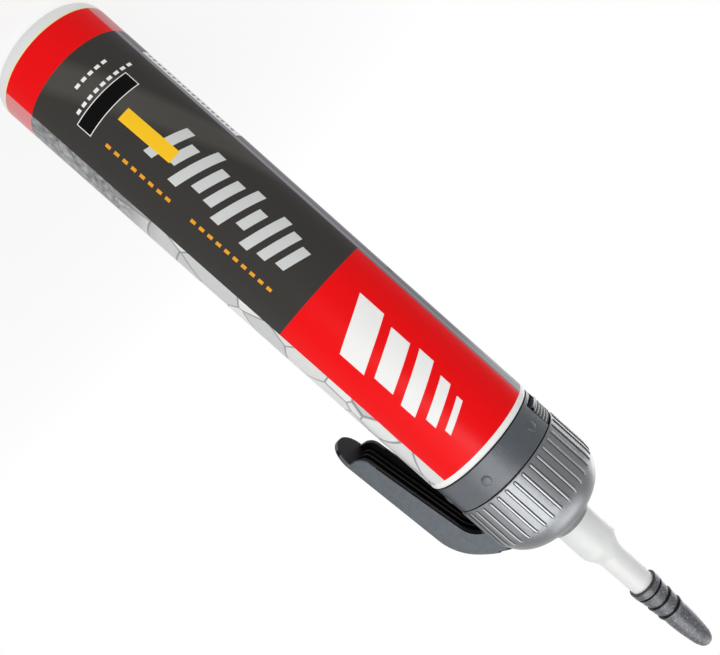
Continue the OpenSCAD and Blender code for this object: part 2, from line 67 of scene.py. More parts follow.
# A box of the print is given in mm, by its ends round the can and then by its ends up the can.
label_edge, label = (-43, -28.6, 28.1, 73.2), (-43, -29.0, 28.5, 72.8)
label_ticks, strip_mark = (-33.2, -30.6, 30.2, 71.2), (-37.5, -31.5, 143.6, 146.2)
panel_edge = (panel_left - 0.2, panel_left + 0.15, band_top, charcoal_top)
tag_edge, black_tag = (-13.9, 11.5, 33.7, 39.8), (-13.6, 11.2, 34.0, 39.5)
yellow_tag = ((-2.3, 54.9), 22.4, 5.3, -1)
white_dots = ((-19, 9, 31.4, 32.6), (-13, 3, 25.9, 27.1))
orange_dots = ((9.2, 10.5, 44.5, 75), (9.2, 10.5, 82, 120.5))
stroke_pitch, stroke_low, stroke_high, stroke_slant = 6.4, 57.4, 120.6, 0.3
stroke_reach, stroke_swing, cells_per_metre = 7.2, 2.6, 62.0
stripes = ((147, 158, 10.4), (162, 170.5, 8.6), (174.5, 181, 9.6), (185, 189.5, 7.4),
           (193, 195.6, 5.8))


def paint(rgb):
    """The linear colour of a display colour from 0 to 255, by the display's own curve."""
    c = np.array(rgb, float) / 255
    return tuple(np.where(c <= 0.04045, c / 12.92, ((c + 0.055) / 1.055) ** 2.4)) + (1.0,)


def arc(x, z, r, a0, a1, n=8):
    """Points (r, z) of an arc: the radius turned about (x, z) from angle a0 to angle a1, in degrees."""
    a = np.radians(np.linspace(a0, a1, n + 1))
    return np.column_stack([x + r * np.cos(a), z + r * np.sin(a)])


def turns(n):
    """n angles in radians, evenly spaced through a full turn."""
    return np.linspace(0, 2 * np.pi, n, endpoint=False)


def revolved(outline, angles):
    """Grid of a surface of revolution: each outline point (r, z) turned about Z by each angle."""
    r, z = np.asarray(outline, float).T
    return np.stack([np.outer(r, np.cos(angles)), np.outer(r, np.sin(angles)),
                     np.repeat(z[:, None], len(angles), 1)], -1)


def skin(grid, loop_rows=False, loop_columns=True, finish=0):
    """Quads between each grid point and its next neighbours along the rows and the columns."""
    m, n = grid.shape[:2]
    i = np.arange(m if loop_rows else m - 1)[:, None]
    j = np.arange(n if loop_columns else n - 1)[None, :]
    i_next, j_next = (i + 1) % m, (j + 1) % n
    quads = np.stack([i * n + j, i * n + j_next, i_next * n + j_next, i_next * n + j], -1)
    return grid.reshape(-1, 3), quads.reshape(-1, 4).tolist(), finish


def sleeve(sections, finish=0):
    """A closed solid: each row is a closed section, joined to the next, with both ends capped."""
    points, faces, _ = skin(sections, finish=finish)
    m, n = sections.shape[:2]
    return points, faces + [list(range(n)), list(range((m - 1) * n, m * n))], finish


def piece(name, parts, body, nodes, materials, crease=32):
    """Joins parts into one mesh in metres, closes its poles and seams, turns its faces outwards,
    and shades it smooth up to the crease angle. The piece rides on its body and replaces its nodes."""
    points, faces, finishes, first = [], [], [], 0
    for part_points, part_faces, finish in parts:
        points.append(np.asarray(part_points, float).reshape(-1, 3) * MM)
        faces += [[v + first for v in face] for face in part_faces]
        finishes += [finish] * len(part_faces)
        first += len(points[-1])
    mesh = bpy.data.meshes.new(name)
    mesh.from_pydata(np.concatenate(points).tolist(), [], faces)
    mesh.polygons.foreach_set("material_index", finishes)
    work = bmesh.new()
    work.from_mesh(mesh)
    bmesh.ops.remove_doubles(work, verts=work.verts, dist=2e-6)
    bmesh.ops.recalc_face_normals(work, faces=work.faces)
    work.to_mesh(mesh)
    work.free()
    mesh.shade_smooth()
    mesh.set_sharp_from_angle(angle=math.radians(crease))
    made = bpy.data.objects.new(name, mesh)
    bpy.context.scene.collection.objects.link(made)
    for material in materials:
        mesh.materials.append(material)
    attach(made, body)
    if nodes:
        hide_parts(*nodes)
    return made


def new_material(name):
    """An empty node material: its tree, and the surface shader that its output shows."""
    material = bpy.data.materials.new(name)
    material.use_nodes = True
    tree = material.node_tree
    tree.nodes.clear()
    shader = tree.nodes.new("ShaderNodeBsdfPrincipled")
    output = tree.nodes.new("ShaderNodeOutputMaterial")
    tree.links.new(shader.outputs[0], output.inputs["Surface"])
    return material, tree, shader


def feed(tree, socket, value):
    """Links a socket to another one, or gives it a plain value."""
    if isinstance(value, bpy.types.NodeSocket):
        tree.links.new(value, socket)
    else:
        socket.default_value = value


def node(tree, kind, inputs=None, **settings):
    """A shader node of the kind, with its settings and its inputs fed."""
    made = tree.nodes.new("ShaderNode" + kind)
    for key, value in settings.items():
        setattr(made, key, value)
    for key, value in (inputs or {}).items():
        feed(tree, made.inputs[key], value)
    return made


def calc(tree, operation, *values, clamp=False):
    """The result of a math node."""
    made = node(tree, "Math", dict(enumerate(values)), operation=operation, use_clamp=clamp)
    return made.outputs[0]


def between(tree, value, low, high, soft=0.06):
    """1 where the value lies between low and high, falling to 0 within the soft width."""
    off_centre = calc(tree, "ABSOLUTE", calc(tree, "SUBTRACT", value, (low + high) / 2))
    inside = calc(tree, "SUBTRACT", (high - low) / 2, off_centre)
    return calc(tree, "MULTIPLY_ADD", inside, 1 / soft, 0.5, clamp=True)


def blend(tree, mask, under, over):
    """The colour over laid on the colour under, where the mask is 1."""
    made = node(tree, "Mix", {0: mask, 6: under, 7: over}, data_type="RGBA")
    return made.outputs[2]


def grain(tree, scale, detail=2.0, stretch=(1, 1, 1)):
    """Fine noise through the piece, in object coordinates, with its scale in lengths per metre."""
    place = node(tree, "TexCoord").outputs["Object"]
    turned = node(tree, "Mapping", {0: place, 3: stretch}).outputs[0]
    return node(tree, "TexNoise", {"Vector": turned, "Scale": scale, "Detail": detail}).outputs[0]


def bumped(tree, shader, height, depth):
    """Gives the shader a bump of the height map, as deep as the depth in metres."""
    bump = node(tree, "Bump", {"Height": height, "Distance": depth, "Strength": 1.0})
    tree.links.new(bump.outputs[0], shader.inputs["Normal"])


def place_mm(tree, turn=0.0):
    """The X, Y and Z in mm of the shaded point, turned about Z by an angle in degrees."""
    place = node(tree, "TexCoord").outputs["Object"]
    turned = node(tree, "Mapping", {0: place, 2: (0, 0, math.radians(turn))}).outputs[0]
    return [calc(tree, "DIVIDE", c, MM) for c in node(tree, "SeparateXYZ", {0: turned}).outputs]


def least(tree, one, other):
    """The smaller value: the overlap of two masks."""
    return calc(tree, "MINIMUM", one, other)


def printed(tree, mask, under, name):
    """The named ink printed on the colour under it, where the mask is 1."""
    return blend(tree, mask, under, paint(ink[name]))


def boxed(tree, u, v, box):
    """1 inside a box of the print, given by its ends in u and then in v."""
    return least(tree, between(tree, u, *box[:2]), between(tree, v, *box[2:]))


def turned_box(tree, u, v, middle, length, width, angle):
    """1 inside a box round its middle, with its length up the can, turned by the angle in degrees."""
    a = math.radians(angle)
    du, dv = calc(tree, "SUBTRACT", u, middle[0]), calc(tree, "SUBTRACT", v, middle[1])
    along = calc(tree, "MULTIPLY_ADD", du, math.sin(a), calc(tree, "MULTIPLY", dv, math.cos(a)))
    across = calc(tree, "MULTIPLY_ADD", du, math.cos(a), calc(tree, "MULTIPLY", dv, -math.sin(a)))
    return least(tree, between(tree, along, -length / 2, length / 2),
                 between(tree, across, -width / 2, width / 2))


def dashes(tree, value, pitch, share):
    """1 along the first share of each pitch of the value."""
    return between(tree, calc(tree, "MODULO", value, pitch), 0, pitch * share)


def side_print(tree, u, v):
    """Round the back, irregular cells in greys with drawn edges fade into cloudy rubble below. Left
    of the panel stands a grey strip with a painted highlight as a soft gleam, a white label with ticks,
    and a black mark."""
    place = node(tree, "TexCoord").outputs["Object"]
    cells = node(tree, "TexVoronoi", {"Vector": place, "Scale": cells_per_metre})
    tone = node(tree, "RGBToBW", {0: cells.outputs["Color"]}).outputs[0]
    side = blend(tree, calc(tree, "MULTIPLY", tone, 0.7), paint(ink["white"]), paint(ink["cell"]))
    rubble = least(tree, between(tree, v, 0, 62, 30), grain(tree, 420, 4.0))
    side = printed(tree, calc(tree, "MULTIPLY", rubble, 1.5, clamp=True), side, "rubble")
    edges = node(tree, "TexVoronoi", {"Vector": place, "Scale": cells_per_metre},
                 feature="DISTANCE_TO_EDGE")
    drawn = between(tree, edges.outputs["Distance"], -0.02, 0.02, 0.02)
    side = printed(tree, calc(tree, "MULTIPLY", drawn, 0.8), side, "line")
    # Painted highlight: a soft pale band down the grey strip.
    painted_gleam = between(tree, u, -28.9, -27.0, 1.6)
    strip = blend(tree, painted_gleam, paint(ink["strip"]), paint(ink["painted_strip_gleam"]))
    side = blend(tree, between(tree, u, -46, panel_left), side, strip)
    side = printed(tree, boxed(tree, u, v, label_edge), side, "label_edge")
    side = printed(tree, boxed(tree, u, v, label), side, "white")
    ticks = least(tree, boxed(tree, u, v, label_ticks), dashes(tree, v, 2.3, 0.5))
    side = printed(tree, ticks, side, "line")
    return printed(tree, boxed(tree, u, v, strip_mark), side, "black")


def silver_strokes(tree, u, v):
    """1 on slanted strokes, one in each pitch of the slanted height. A stroke's half width swings
    by a sine of its number about a middle that drifts slowly over the height."""
    slant = calc(tree, "MULTIPLY_ADD", u, stroke_slant, v)
    number = calc(tree, "FLOOR", calc(tree, "DIVIDE", slant, stroke_pitch))
    swing = calc(tree, "SINE", calc(tree, "MULTIPLY", number, 2.4))
    reach = calc(tree, "MULTIPLY_ADD", swing, stroke_swing, stroke_reach)
    off_middle = calc(tree, "ADD", u, calc(tree, "MULTIPLY_ADD", v, -0.03, 7.2))
    inside = calc(tree, "SUBTRACT", reach, calc(tree, "ABSOLUTE", off_middle))
    strokes = least(tree, calc(tree, "MULTIPLY_ADD", inside, 16, 0.5, clamp=True),
                    dashes(tree, slant, stroke_pitch, 0.6))
    return least(tree, strokes, between(tree, slant, stroke_low, stroke_high))


def front_print(tree, u, v, fine):
    """The panel: charcoal below with a soft painted highlight as its sheen, silver strokes, two tags and
    dotted lines, and red above with white stripes, each a strip of the height less a share of u."""
    front = blend(tree, fine, paint(ink["charcoal"]), paint(ink["warm_charcoal"]))
    # Painted highlight: a soft pale band slanting across the charcoal.
    painted_sheen = between(tree, calc(tree, "MULTIPLY_ADD", u, 2.2, v), 14, 40, 10)
    front = printed(tree, calc(tree, "MULTIPLY", painted_sheen, 0.35), front, "painted_charcoal_sheen")
    front = printed(tree, between(tree, v, charcoal_top, red_top), front, "red")
    silver = blend(tree, fine, paint(ink["silver"]), paint(ink["pale_silver"]))
    front = blend(tree, silver_strokes(tree, u, v), front, silver)
    front = printed(tree, turned_box(tree, u, v, *yellow_tag), front, "yellow")
    front = printed(tree, boxed(tree, u, v, tag_edge), front, "white")
    front = printed(tree, boxed(tree, u, v, black_tag), front, "black")
    across = dashes(tree, calc(tree, "ADD", u, 40), 3.1, 0.62)
    for box in white_dots:
        front = printed(tree, least(tree, boxed(tree, u, v, box), across), front, "white")
    upwards = dashes(tree, v, 3.8, 0.55)
    for box in orange_dots:
        front = printed(tree, least(tree, boxed(tree, u, v, box), upwards), front, "orange")
    lean = calc(tree, "MULTIPLY_ADD", u, -0.42, v)
    for low, high, half in stripes:
        stripe = least(tree, between(tree, lean, low, high), between(tree, u, -half, half))
        front = printed(tree, stripe, front, "white")
    return front


def printed_tinplate():
    """Lacquered print: u is the arc length from the middle of the panel's view, v the height, in mm.
    Every shape is a strip between two lines in u and v, or in a pair of axes turned from them. The
    lower rim is bare metal, and the shoulder inside the head is painted black as shade."""
    material, tree, shader = new_material("printed_tinplate")
    x, y, v = place_mm(tree, -print_azimuth)
    u = calc(tree, "MULTIPLY", calc(tree, "ARCTAN2", y, x), can_r)
    fine = grain(tree, 5200)
    panel = between(tree, u, panel_left, panel_right)
    whole = blend(tree, panel, side_print(tree, u, v), front_print(tree, u, v, fine))
    whole = printed(tree, boxed(tree, u, v, panel_edge), whole, "black")
    faded = blend(tree, 0.45, paint(ink["red"]), paint(ink["steel"]))
    band = blend(tree, panel, faded, paint(ink["red"]))
    whole = blend(tree, between(tree, v, rim_top, band_top), whole, band)
    whole = printed(tree, between(tree, v, red_top, can_h), whole, "white")
    whole = printed(tree, between(tree, v, rim_top - 0.35, rim_top), whole, "pale_yellow")
    bare = between(tree, v, -1, rim_top - 0.35)
    whole = printed(tree, bare, whole, "rim")
    # Painted shade: the shoulder under the collar is painted black.
    painted_shade_shoulder = between(tree, v, can_h - 0.05, can_h + 40)
    tree.links.new(printed(tree, painted_shade_shoulder, whole, "black"), shader.inputs["Base Color"])
    tree.links.new(calc(tree, "MULTIPLY", bare, 0.55), shader.inputs["Metallic"])
    shader.inputs["Roughness"].default_value = 0.3
    shader.inputs["Specular IOR Level"].default_value = 0.05
    bumped(tree, shader, fine, 4e-6)
    return material


heel_r, step_w, mouth_r, curl_r, dish_h = 4.4, 3.6, 12.7, 1.5, 8.0
ring_r = can_r - heel_r
dish_edge, ring_w, edge_r, step_h = 1.8, 0.6, 0.8, 2.8
dish_r, dish_rise = ring_r - ring_w - dish_edge, dish_h - dish_edge
dome_r = (dish_r ** 2 + dish_rise ** 2) / (2 * dish_rise)
dome_a = math.degrees(math.asin(dish_r / dome_r))
step_r, neck_r, curl_z = can_r - step_w, mouth_r + 1.3, curl_top - curl_r
can_side = np.column_stack([np.full(26, can_r), np.linspace(heel_r, can_h - edge_r, 26)])
can_outline = np.concatenate([
    arc(0, dish_h - dome_r, dome_r, 90, 90 - dome_a, 16),
    arc(ring_r - ring_w, dish_edge, dish_edge, 180, 270, 8),
    arc(ring_r, heel_r, heel_r, 270, 360, 16), can_side[1:],
    arc(can_r - edge_r, can_h - edge_r, edge_r, 0, 90, 6),
    [[step_r, can_h]], arc(neck_r, can_h + step_h, step_r - neck_r, 0, 90, 12),
    arc(mouth_r + curl_r, curl_z, curl_r, -97, 180, 20), [[mouth_r, curl_z - 18], [0, curl_z - 18]]])
piece("can_shell", [skin(revolved(can_outline, turns(256)))], "can_body", ["can"],
      [printed_tinplate()])


# Base plug: a rubber stopper that is pressed into the filling hole in the middle of the dish.
# Only its low round head shows, inside the dish.
def soft_plastic(name, rgb, other, roughness, bump_scale, bump_depth, shine=0.5):
    """Moulded plastic or rubber: two near tones mixed by cloudy noise, over a fine bump."""
    material, tree, shader = new_material(name)
    cloud = grain(tree, bump_scale / 9, 4.0)
    tree.links.new(blend(tree, cloud, paint(rgb), paint(other)), shader.inputs["Base Color"])
    shader.inputs["Roughness"].default_value = roughness
    shader.inputs["Specular IOR Level"].default_value = shine
    bumped(tree, shader, grain(tree, bump_scale), bump_depth)
    return material


plug_low, plug_high = (c.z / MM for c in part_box("base_plug"))
head_r, shaft_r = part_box("base_plug")[1].x / MM, 2.95
plug_outline = np.concatenate([[[0, plug_low]], arc(head_r - 0.8, plug_low + 0.8, 0.8, -90, 0, 6),
                               [[head_r, plug_low + 1.5], [shaft_r, plug_low + 1.5],
                                [shaft_r, plug_high], [0, plug_high]]])
piece("plug", [skin(revolved(plug_outline, turns(64)))], "can_body", ["base_plug"],
      [soft_plastic("plug_rubber", (18, 18, 18), (30, 30, 30), 0.6, 3000, 2e-5)])


# Valve: the lacquered cup is crimped over the can's curl, its turret grips a rubber grommet, and
# the hollow stem stands in the grommet. They are hidden in the head, and keep their own shapes.
def lacquered_sheet():
    """Gold-lacquered sheet: metal with a fine rolled grain along one direction."""
    material, tree, shader = new_material("cup_lacquer")
    rolled = grain(tree, 900, 3.0, (1, 14, 1))
    tree.links.new(blend(tree, rolled, paint((205, 176, 96)), paint((226, 200, 124))),
                   shader.inputs["Base Color"])
    shader.inputs["Metallic"].default_value = 0.9
    shader.inputs["Roughness"].default_value = 0.28
    bumped(tree, shader, rolled, 6e-6)
    return material


valve_finishes = {
    "valve_cup": lacquered_sheet(),
    "valve_grommet": soft_plastic("grommet_rubber", (26, 26, 28), (38, 38, 40), 0.65, 2500, 2e-5),
    "valve_stem": soft_plastic("stem_plastic", (228, 228, 220), (236, 236, 230), 0.4, 2000, 8e-6)}
for name, material in valve_finishes.items():
    for held in frame["nodes"][name].material_slots:
        held.material = material

# Collar: a moulded ring of dark plastic that snaps over the cup's rim. Its skirt has six shallow
# round bumps and a window at the back, and an upstand inside carries the knob.
skirt_z = can_h + 0.45
collar_top = skirt_z + 11.9
skirt_r, skirt_in, window_a, window_z = can_r - 0.3, can_r - 1.8, 15.2, skirt_z + 1.4
web_low, web_high = collar_top - 2.3, collar_top - 0.8
clip_low, clip_r = collar_top + 2.25, can_r - 3.1
bump_r, bump_h, bump_z = 2.0, 0.45, skirt_z + 6.2
charcoal_plastic = soft_plastic("collar_plastic", (58, 64, 71), (70, 76, 83), 0.34, 2600, 9e-5)
# A near-black painted shade for inner faces where only shade falls: the collar's inside, the catch's
# wings, the knob's ears and the lever's channel and fork.
painted_shade_plastic = soft_plastic("painted_shade_inner", (6, 5, 6), (13, 11, 13), 0.6, 2600, 3e-5, 0.12)


def sector(outline, half, azimuth, n=48, finish=0):
    """A ring sector: the closed outline (r, z) turned from -half to half about the azimuth."""
    outline = np.asarray(outline, float)
    angles = np.radians(azimuth + np.linspace(-half, half, n + 1))
    return sleeve(revolved(outline, angles).transpose(1, 0, 2), finish)


def round_bump(azimuth):
    """A low round bump on the skirt: its height is a flat half ellipse of the distance."""
    ring = np.linspace(0, 1, 13)[:, None]
    round_ = turns(40)[None, :]
    height = bump_h * np.sqrt(1 - ring ** 2) - 0.05
    r = skirt_r + height + 0 * round_
    angle = math.radians(azimuth) + bump_r * ring * np.cos(round_) / skirt_r
    z = bump_z + bump_r * ring * np.sin(round_)
    return skin(np.stack([r * np.cos(angle), r * np.sin(angle), z + 0 * r], -1))


low_ring = [[step_r + 0.1, can_h], [can_r - 1.4, can_h], [can_r - 1.4, skirt_z],
            [skirt_r - 0.15, skirt_z], [skirt_r, skirt_z + 0.15], [skirt_r, window_z],
            [skirt_in, window_z], [skirt_in, skirt_z + 1.3], [step_r + 0.1, skirt_z + 1.3]]
wall = [[skirt_in, window_z - 0.1], [skirt_r, window_z - 0.1], [skirt_r, collar_top - 0.25],
        [skirt_r - 0.25, collar_top], [skirt_in, collar_top]]
snap_in = mouth_r + 2 * curl_r + 0.65
inner_ring = [[skirt_in + 0.1, web_low], [skirt_in + 0.1, web_high], [can_r - 2.6, web_high],
              [can_r - 2.6, clip_low - 0.2], [clip_r - 0.3, clip_low - 0.2],
              [clip_r - 0.3, clip_low + 2.0], [can_r - 2.7, clip_low + 2.0],
              [can_r - 2.7, clip_low + 2.7], [can_r - 3.2, clip_low + 3.2],
              [clip_r - 1.7, clip_low + 3.2], [clip_r - 1.7, web_high], [snap_in + 1.45, web_high],
              [snap_in + 1.45, curl_z + 2], [snap_in, curl_z + 2], [snap_in, web_low]]
# The inner ring takes the near-black painted shade.
collar_parts = [skin(revolved(low_ring, turns(256)), loop_rows=True),
                sector(wall, 180 - window_a, 0, 240),
                skin(revolved(inner_ring, turns(192)), loop_rows=True, finish=1)]
collar_parts += [round_bump(azimuth) for azimuth in range(-150, 180, 60)]
piece("collar_ring", collar_parts, "can_body", ["collar"],
      [charcoal_plastic, painted_shade_plastic])

# Catch: a small serrated thumb tab of glossier plastic in the collar's window. It slides down a
# little in the gap under it, and two wings behind the skirt keep it in.
catch_low, catch_high = (c.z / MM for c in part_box("catch"))
ridges, ridge_h, bulge, catch_half, corner_h = 5, 0.5, 0.6, 13.8, 1.2
tab_r, tab_back = skirt_r - 0.2, step_r + 0.5


def serrated_plastic():
    """Satin plastic: a painted highlight on the crests of the tab's waves, painted shade between."""
    material, tree, shader = new_material("catch_plastic")
    turn = 2 * math.pi * ridges / (catch_high - catch_low - 1)
    start = -turn * (catch_low + 1) - math.pi / 2
    wave = calc(tree, "COSINE", calc(tree, "MULTIPLY_ADD", place_mm(tree)[2], turn, start))
    # Painted light: pale on each crest, near-black in the valleys between.
    painted_lit_crest = calc(tree, "MULTIPLY_ADD", wave, 1.5, 0.1, clamp=True)
    tree.links.new(blend(tree, painted_lit_crest, paint((20, 20, 22)), paint((104, 106, 112))),
                   shader.inputs["Base Color"])
    shader.inputs["Roughness"].default_value = 0.3
    bumped(tree, shader, grain(tree, 2600), 2e-5)
    return material


def thumb_tab():
    """The tab's front over angle and height: the radius is a saw wave of rounded ridges over a
    line that bulges out downwards, and the half angle narrows over the chamfered lower corners."""
    z = np.linspace(catch_low, catch_high, 96)
    share = (z - catch_low - 1) / (catch_high - catch_low - 1)
    wave = np.where(share > 0, 0.5 + 0.5 * np.cos(2 * np.pi * (share * ridges - 0.25)), 1.0)
    r = tab_r + bulge * (1 - np.clip(share, 0, 1)) - ridge_h * (1 - wave ** 0.7)
    half = np.radians(catch_half - np.clip(corner_h - (z - catch_low), 0, corner_h) * 3.0)
    front = np.pi + half[:, None] * np.linspace(-1, 1, 33)
    angles = np.concatenate([front, front[:, ::-1]], 1)
    radius = np.concatenate([r[:, None] + 0 * front, tab_back + 0 * front], 1)
    return sleeve(np.stack([radius * np.cos(angles), radius * np.sin(angles),
                            z[:, None] + 0 * angles], -1))


wing = [[tab_back + 0.2, catch_low + 0.2], [skirt_in - 0.15, catch_low + 0.2],
        [skirt_in - 0.15, web_low - 0.5], [tab_back + 0.2, web_low - 0.5]]
# The wings take the near-black painted shade.
piece("thumb_catch", [thumb_tab(), sector(wing, catch_half + 4, 180, 24, 1)], "catch_body",
      ["catch"], [serrated_plastic(), painted_shade_plastic])

# Knob: a thin dome of silver metallic plastic with 38 grip ribs. It turns on the collar by a clip
# inside its foot, its neck guides the nozzle, and two ears inside carry the lever's trunnions.
knob_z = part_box("knob")[0].z / MM
knob_r, knob_t, shoulder_r, top_slope, dome_flat = can_r - 0.5, 1.6, 15.5, 27.0, 0.94
shoulder_z, shoulder_c, top_a = knob_z + 15.9, knob_r - shoulder_r, math.radians(90 - top_slope)
foot_r, nozzle_r, lip_w = 11.3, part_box("nozzle")[1].x / MM, 0.45
foot_rise = (shoulder_r * math.sin(top_a)
             + (shoulder_c + shoulder_r * math.cos(top_a) - foot_r) / math.tan(top_a))
foot_z = shoulder_z + dome_flat * foot_rise
neck_bore = nozzle_r + 0.1
lip_z = foot_z + foot_r - neck_bore - lip_w - 0.35
ribs, rib_w, rib_h, rib_low, rib_rise = 38, 1.1, 0.42, knob_z + 0.65, 3.3


def silver_plastic():
    """Silver metallic plastic: flakes of two tones in a clear binder, over a faint flow grain. The
    distance to the nearest rib's middle gives painted highlights on crests and painted shade at feet."""
    material, tree, shader = new_material("silver_plastic")
    x, y, height = place_mm(tree)
    turn = calc(tree, "MULTIPLY", calc(tree, "ARCTAN2", y, x), ribs / (2 * math.pi))
    part = calc(tree, "SUBTRACT", calc(tree, "FRACT", calc(tree, "ADD", turn, ribs + 0.5)), 0.5)
    off = calc(tree, "MULTIPLY", calc(tree, "ABSOLUTE", part), 2 * math.pi * knob_r / ribs)
    ribbed = between(tree, height, rib_low + 0.3, shoulder_z + rib_rise - 0.2, 0.6)
    # Painted shade: a near-black line along each rib's feet; painted highlight: a pale line on each
    # crest.
    foot = least(tree, between(tree, off, 0.46, 0.74, 0.12), ribbed)
    painted_lit_crest = least(tree, between(tree, off, -0.22, 0.22, 0.16), ribbed)
    flakes = grain(tree, 6000, 2.0)
    cloud = grain(tree, 240, 3.0, (1, 1, 0.3))
    tone = blend(tree, flakes, paint((84, 86, 89)), paint((136, 138, 140)))
    tone = blend(tree, calc(tree, "MULTIPLY", cloud, 0.4), tone, paint((84, 86, 89)))
    tone = blend(tree, calc(tree, "MULTIPLY", painted_lit_crest, 0.4), tone, paint((190, 192, 194)))
    tone = blend(tree, foot, tone, paint((20, 20, 21)))
    tree.links.new(tone, shader.inputs["Base Color"])
    shader.inputs["Metallic"].default_value = 0.85
    shader.inputs["Roughness"].default_value = 0.32
    bumped(tree, shader, flakes, 3.5e-5)
    return material


def knob_shell():
    """The outline turned about Z, with a rib's round bead added along its normal: the bead's height
    is a half ellipse of the distance to the rib's centre line, which ends in a half circle."""
    side = np.concatenate([[0.0, 0.25, 0.45], np.linspace(0.62, 0.9, 5), np.linspace(1.3, 14, 12)])
    rise = np.concatenate([np.linspace(14.6, 19.6, 34), np.linspace(20.2, 32.6, 22)])
    length = np.concatenate([side, rise])
    flank = shoulder_z - knob_z
    bend = np.clip((length - flank) / shoulder_r, 0, top_a)
    r = np.where(length < flank, knob_r, shoulder_c + shoulder_r * np.cos(bend))
    z = np.where(length < flank, knob_z + length, shoulder_z + dome_flat * shoulder_r * np.sin(bend))
    normal = np.stack([np.cos(bend), np.sin(bend)], -1)
    half, pitch, groove = rib_w / 2, 2 * np.pi / ribs, [1.1, 2.02, 2.95]
    across = np.concatenate([half * np.sin(np.radians(np.linspace(-90, 90, 11))), groove])
    angles = (np.arange(ribs)[:, None] * pitch + across[None, :] / knob_r).ravel()
    near = np.tile(across, ribs)
    near = np.where(near > groove[1], knob_r * pitch - near, near)
    scale = r[:, None] / knob_r
    beyond = np.maximum(np.maximum(length - flank - rib_rise, rib_low - knob_z + half - length), 0)
    far = np.hypot(near[None, :] * scale, beyond[:, None]) / half
    bead = rib_h * np.sqrt(np.clip(1 - far ** 2, 0, 1))
    out_r = r[:, None] + bead * normal[:, :1]
    out_z = z[:, None] + bead * normal[:, 1:]
    out_r[0] -= 0.12
    outer = np.stack([out_r * np.cos(angles), out_r * np.sin(angles), out_z], -1)
    clip_in, clip_z = knob_r - knob_t - 1.0, knob_z + 1.8
    bore = np.concatenate([
        arc(foot_r + 0.5, foot_z + 0.2, 0.5, 243, 225, 2), [[neck_bore + lip_w, lip_z]],
        [[neck_bore, lip_z], [neck_bore, shoulder_z + shoulder_r - 3.4],
         [neck_bore + 1.4, shoulder_z + shoulder_r - 3.4]],
        [[neck_bore + 1.4, foot_z - 1.7]], [[foot_r + 1.2, foot_z - 2.3]],
        arc(shoulder_c, 0, shoulder_r - knob_t, 90 - top_slope, 0, 16) * [1, dome_flat] + [0, shoulder_z],
        [[knob_r - knob_t, clip_z + 2.0], [clip_in, clip_z + 1.7], [clip_in, clip_z],
         [knob_r - knob_t, clip_z], [knob_r - knob_t, knob_z]]])
    return skin(np.concatenate([outer, revolved(bore, angles)]), loop_rows=True)


pivot = next(j for j in frame["joints"] if j["name"] == "lever_press")["pos_m"]
pivot_x, pivot_z = -pivot[0] / MM, pivot[2] / MM
lever_w, fork_in, fork_t, part_gap = 18.5, nozzle_r + 0.35, 2.0, 0.3
fork_out = fork_in + fork_t
hub_r, trunnion_r, ear_t = 3.6, 2.0, 2.0
root_x, slot_x, root_slope, slot_low = knob_r - 5.7, knob_r - 6.2, 23.3, knob_z + 6.0
root_z = shoulder_z + math.sqrt(shoulder_r ** 2 - (math.hypot(root_x, lever_w / 2) - shoulder_c) ** 2)


def kept_in(points, depth):
    """Draws points in to a surface that lies at that depth under the knob's flank and shoulder:
    its radius is the flank's, and over the shoulder's centre that of the shoulder's circle."""
    r = np.hypot(points[..., 0], points[..., 1])
    over = np.clip(points[..., 2] - shoulder_z, 0, shoulder_r - depth)
    limit = shoulder_c + np.sqrt((shoulder_r - depth) ** 2 - over ** 2)
    out = points.copy()
    out[..., :2] *= np.minimum(1, limit / np.maximum(r, 1e-9))[..., None]
    return out


def ear(side):
    """A plate with a bore: rings of the bore and of the outer edge, which is a half circle below
    and runs straight up into the dome above."""
    a, bore, ear_h, squareness = turns(64), trunnion_r + 0.05, 11.6, 1.6
    above = a < np.pi
    edge_x = hub_r * np.where(above, np.clip(squareness * np.cos(a), -1, 1), np.cos(a))
    edge_z = np.where(above, ear_h * np.clip(squareness * np.sin(a), 0, 1), hub_r * np.sin(a))
    y0, y1 = side * (fork_out + part_gap), side * (fork_out + part_gap + ear_t)
    rings = [(bore * np.cos(a), bore * np.sin(a), y0), (edge_x, edge_z, y0),
             (edge_x, edge_z, y1), (bore * np.cos(a), bore * np.sin(a), y1)]
    grid = np.array([np.stack([x - pivot_x, np.full(64, y), z + pivot_z], -1) for x, z, y in rings])
    # The ears take the near-black painted shade.
    return skin(kept_in(grid, knob_t / 2), loop_rows=True, finish=1)


def plate(outline, y0, y1, finish=0):
    """An upright outline in X and Z, as a solid from y0 to y1."""
    x, z = np.asarray(outline, float).T
    return sleeve(np.array([np.stack([x, np.full(len(x), y), z], -1) for y in (y0, y1)]), finish)


silver = silver_plastic()
knob = piece("grip_knob", [knob_shell()], "knob_body", ["knob"],
             [silver, painted_shade_plastic], crease=50)
slot_y = lever_w / 2 + part_gap
slope = math.tan(math.radians(root_slope))
slot = [[slot_x, slot_low], [can_r + 3, slot_low], [can_r + 3, root_z - 2],
        [root_x + 4, root_z - 4 * slope + part_gap],
        [slot_x, root_z + (root_x - slot_x) * slope + part_gap]]
cutter = piece("slot_cutter", [plate(slot, -slot_y, slot_y)], "knob_body", [],
               [painted_shade_plastic])
cut = knob.modifiers.new("slot", "BOOLEAN")
cut.operation, cut.object, cut.solver = "DIFFERENCE", cutter, "EXACT"
bpy.context.view_layer.update()
opened = bpy.data.meshes.new_from_object(knob.evaluated_get(bpy.context.evaluated_depsgraph_get()))
knob.modifiers.clear()
knob.data = opened
opened.shade_smooth()
opened.set_sharp_from_angle(angle=math.radians(50))
bpy.data.objects.remove(cutter)
piece("knob_ears", [ear(-1), ear(1)], "knob_body", [], [silver, painted_shade_plastic])

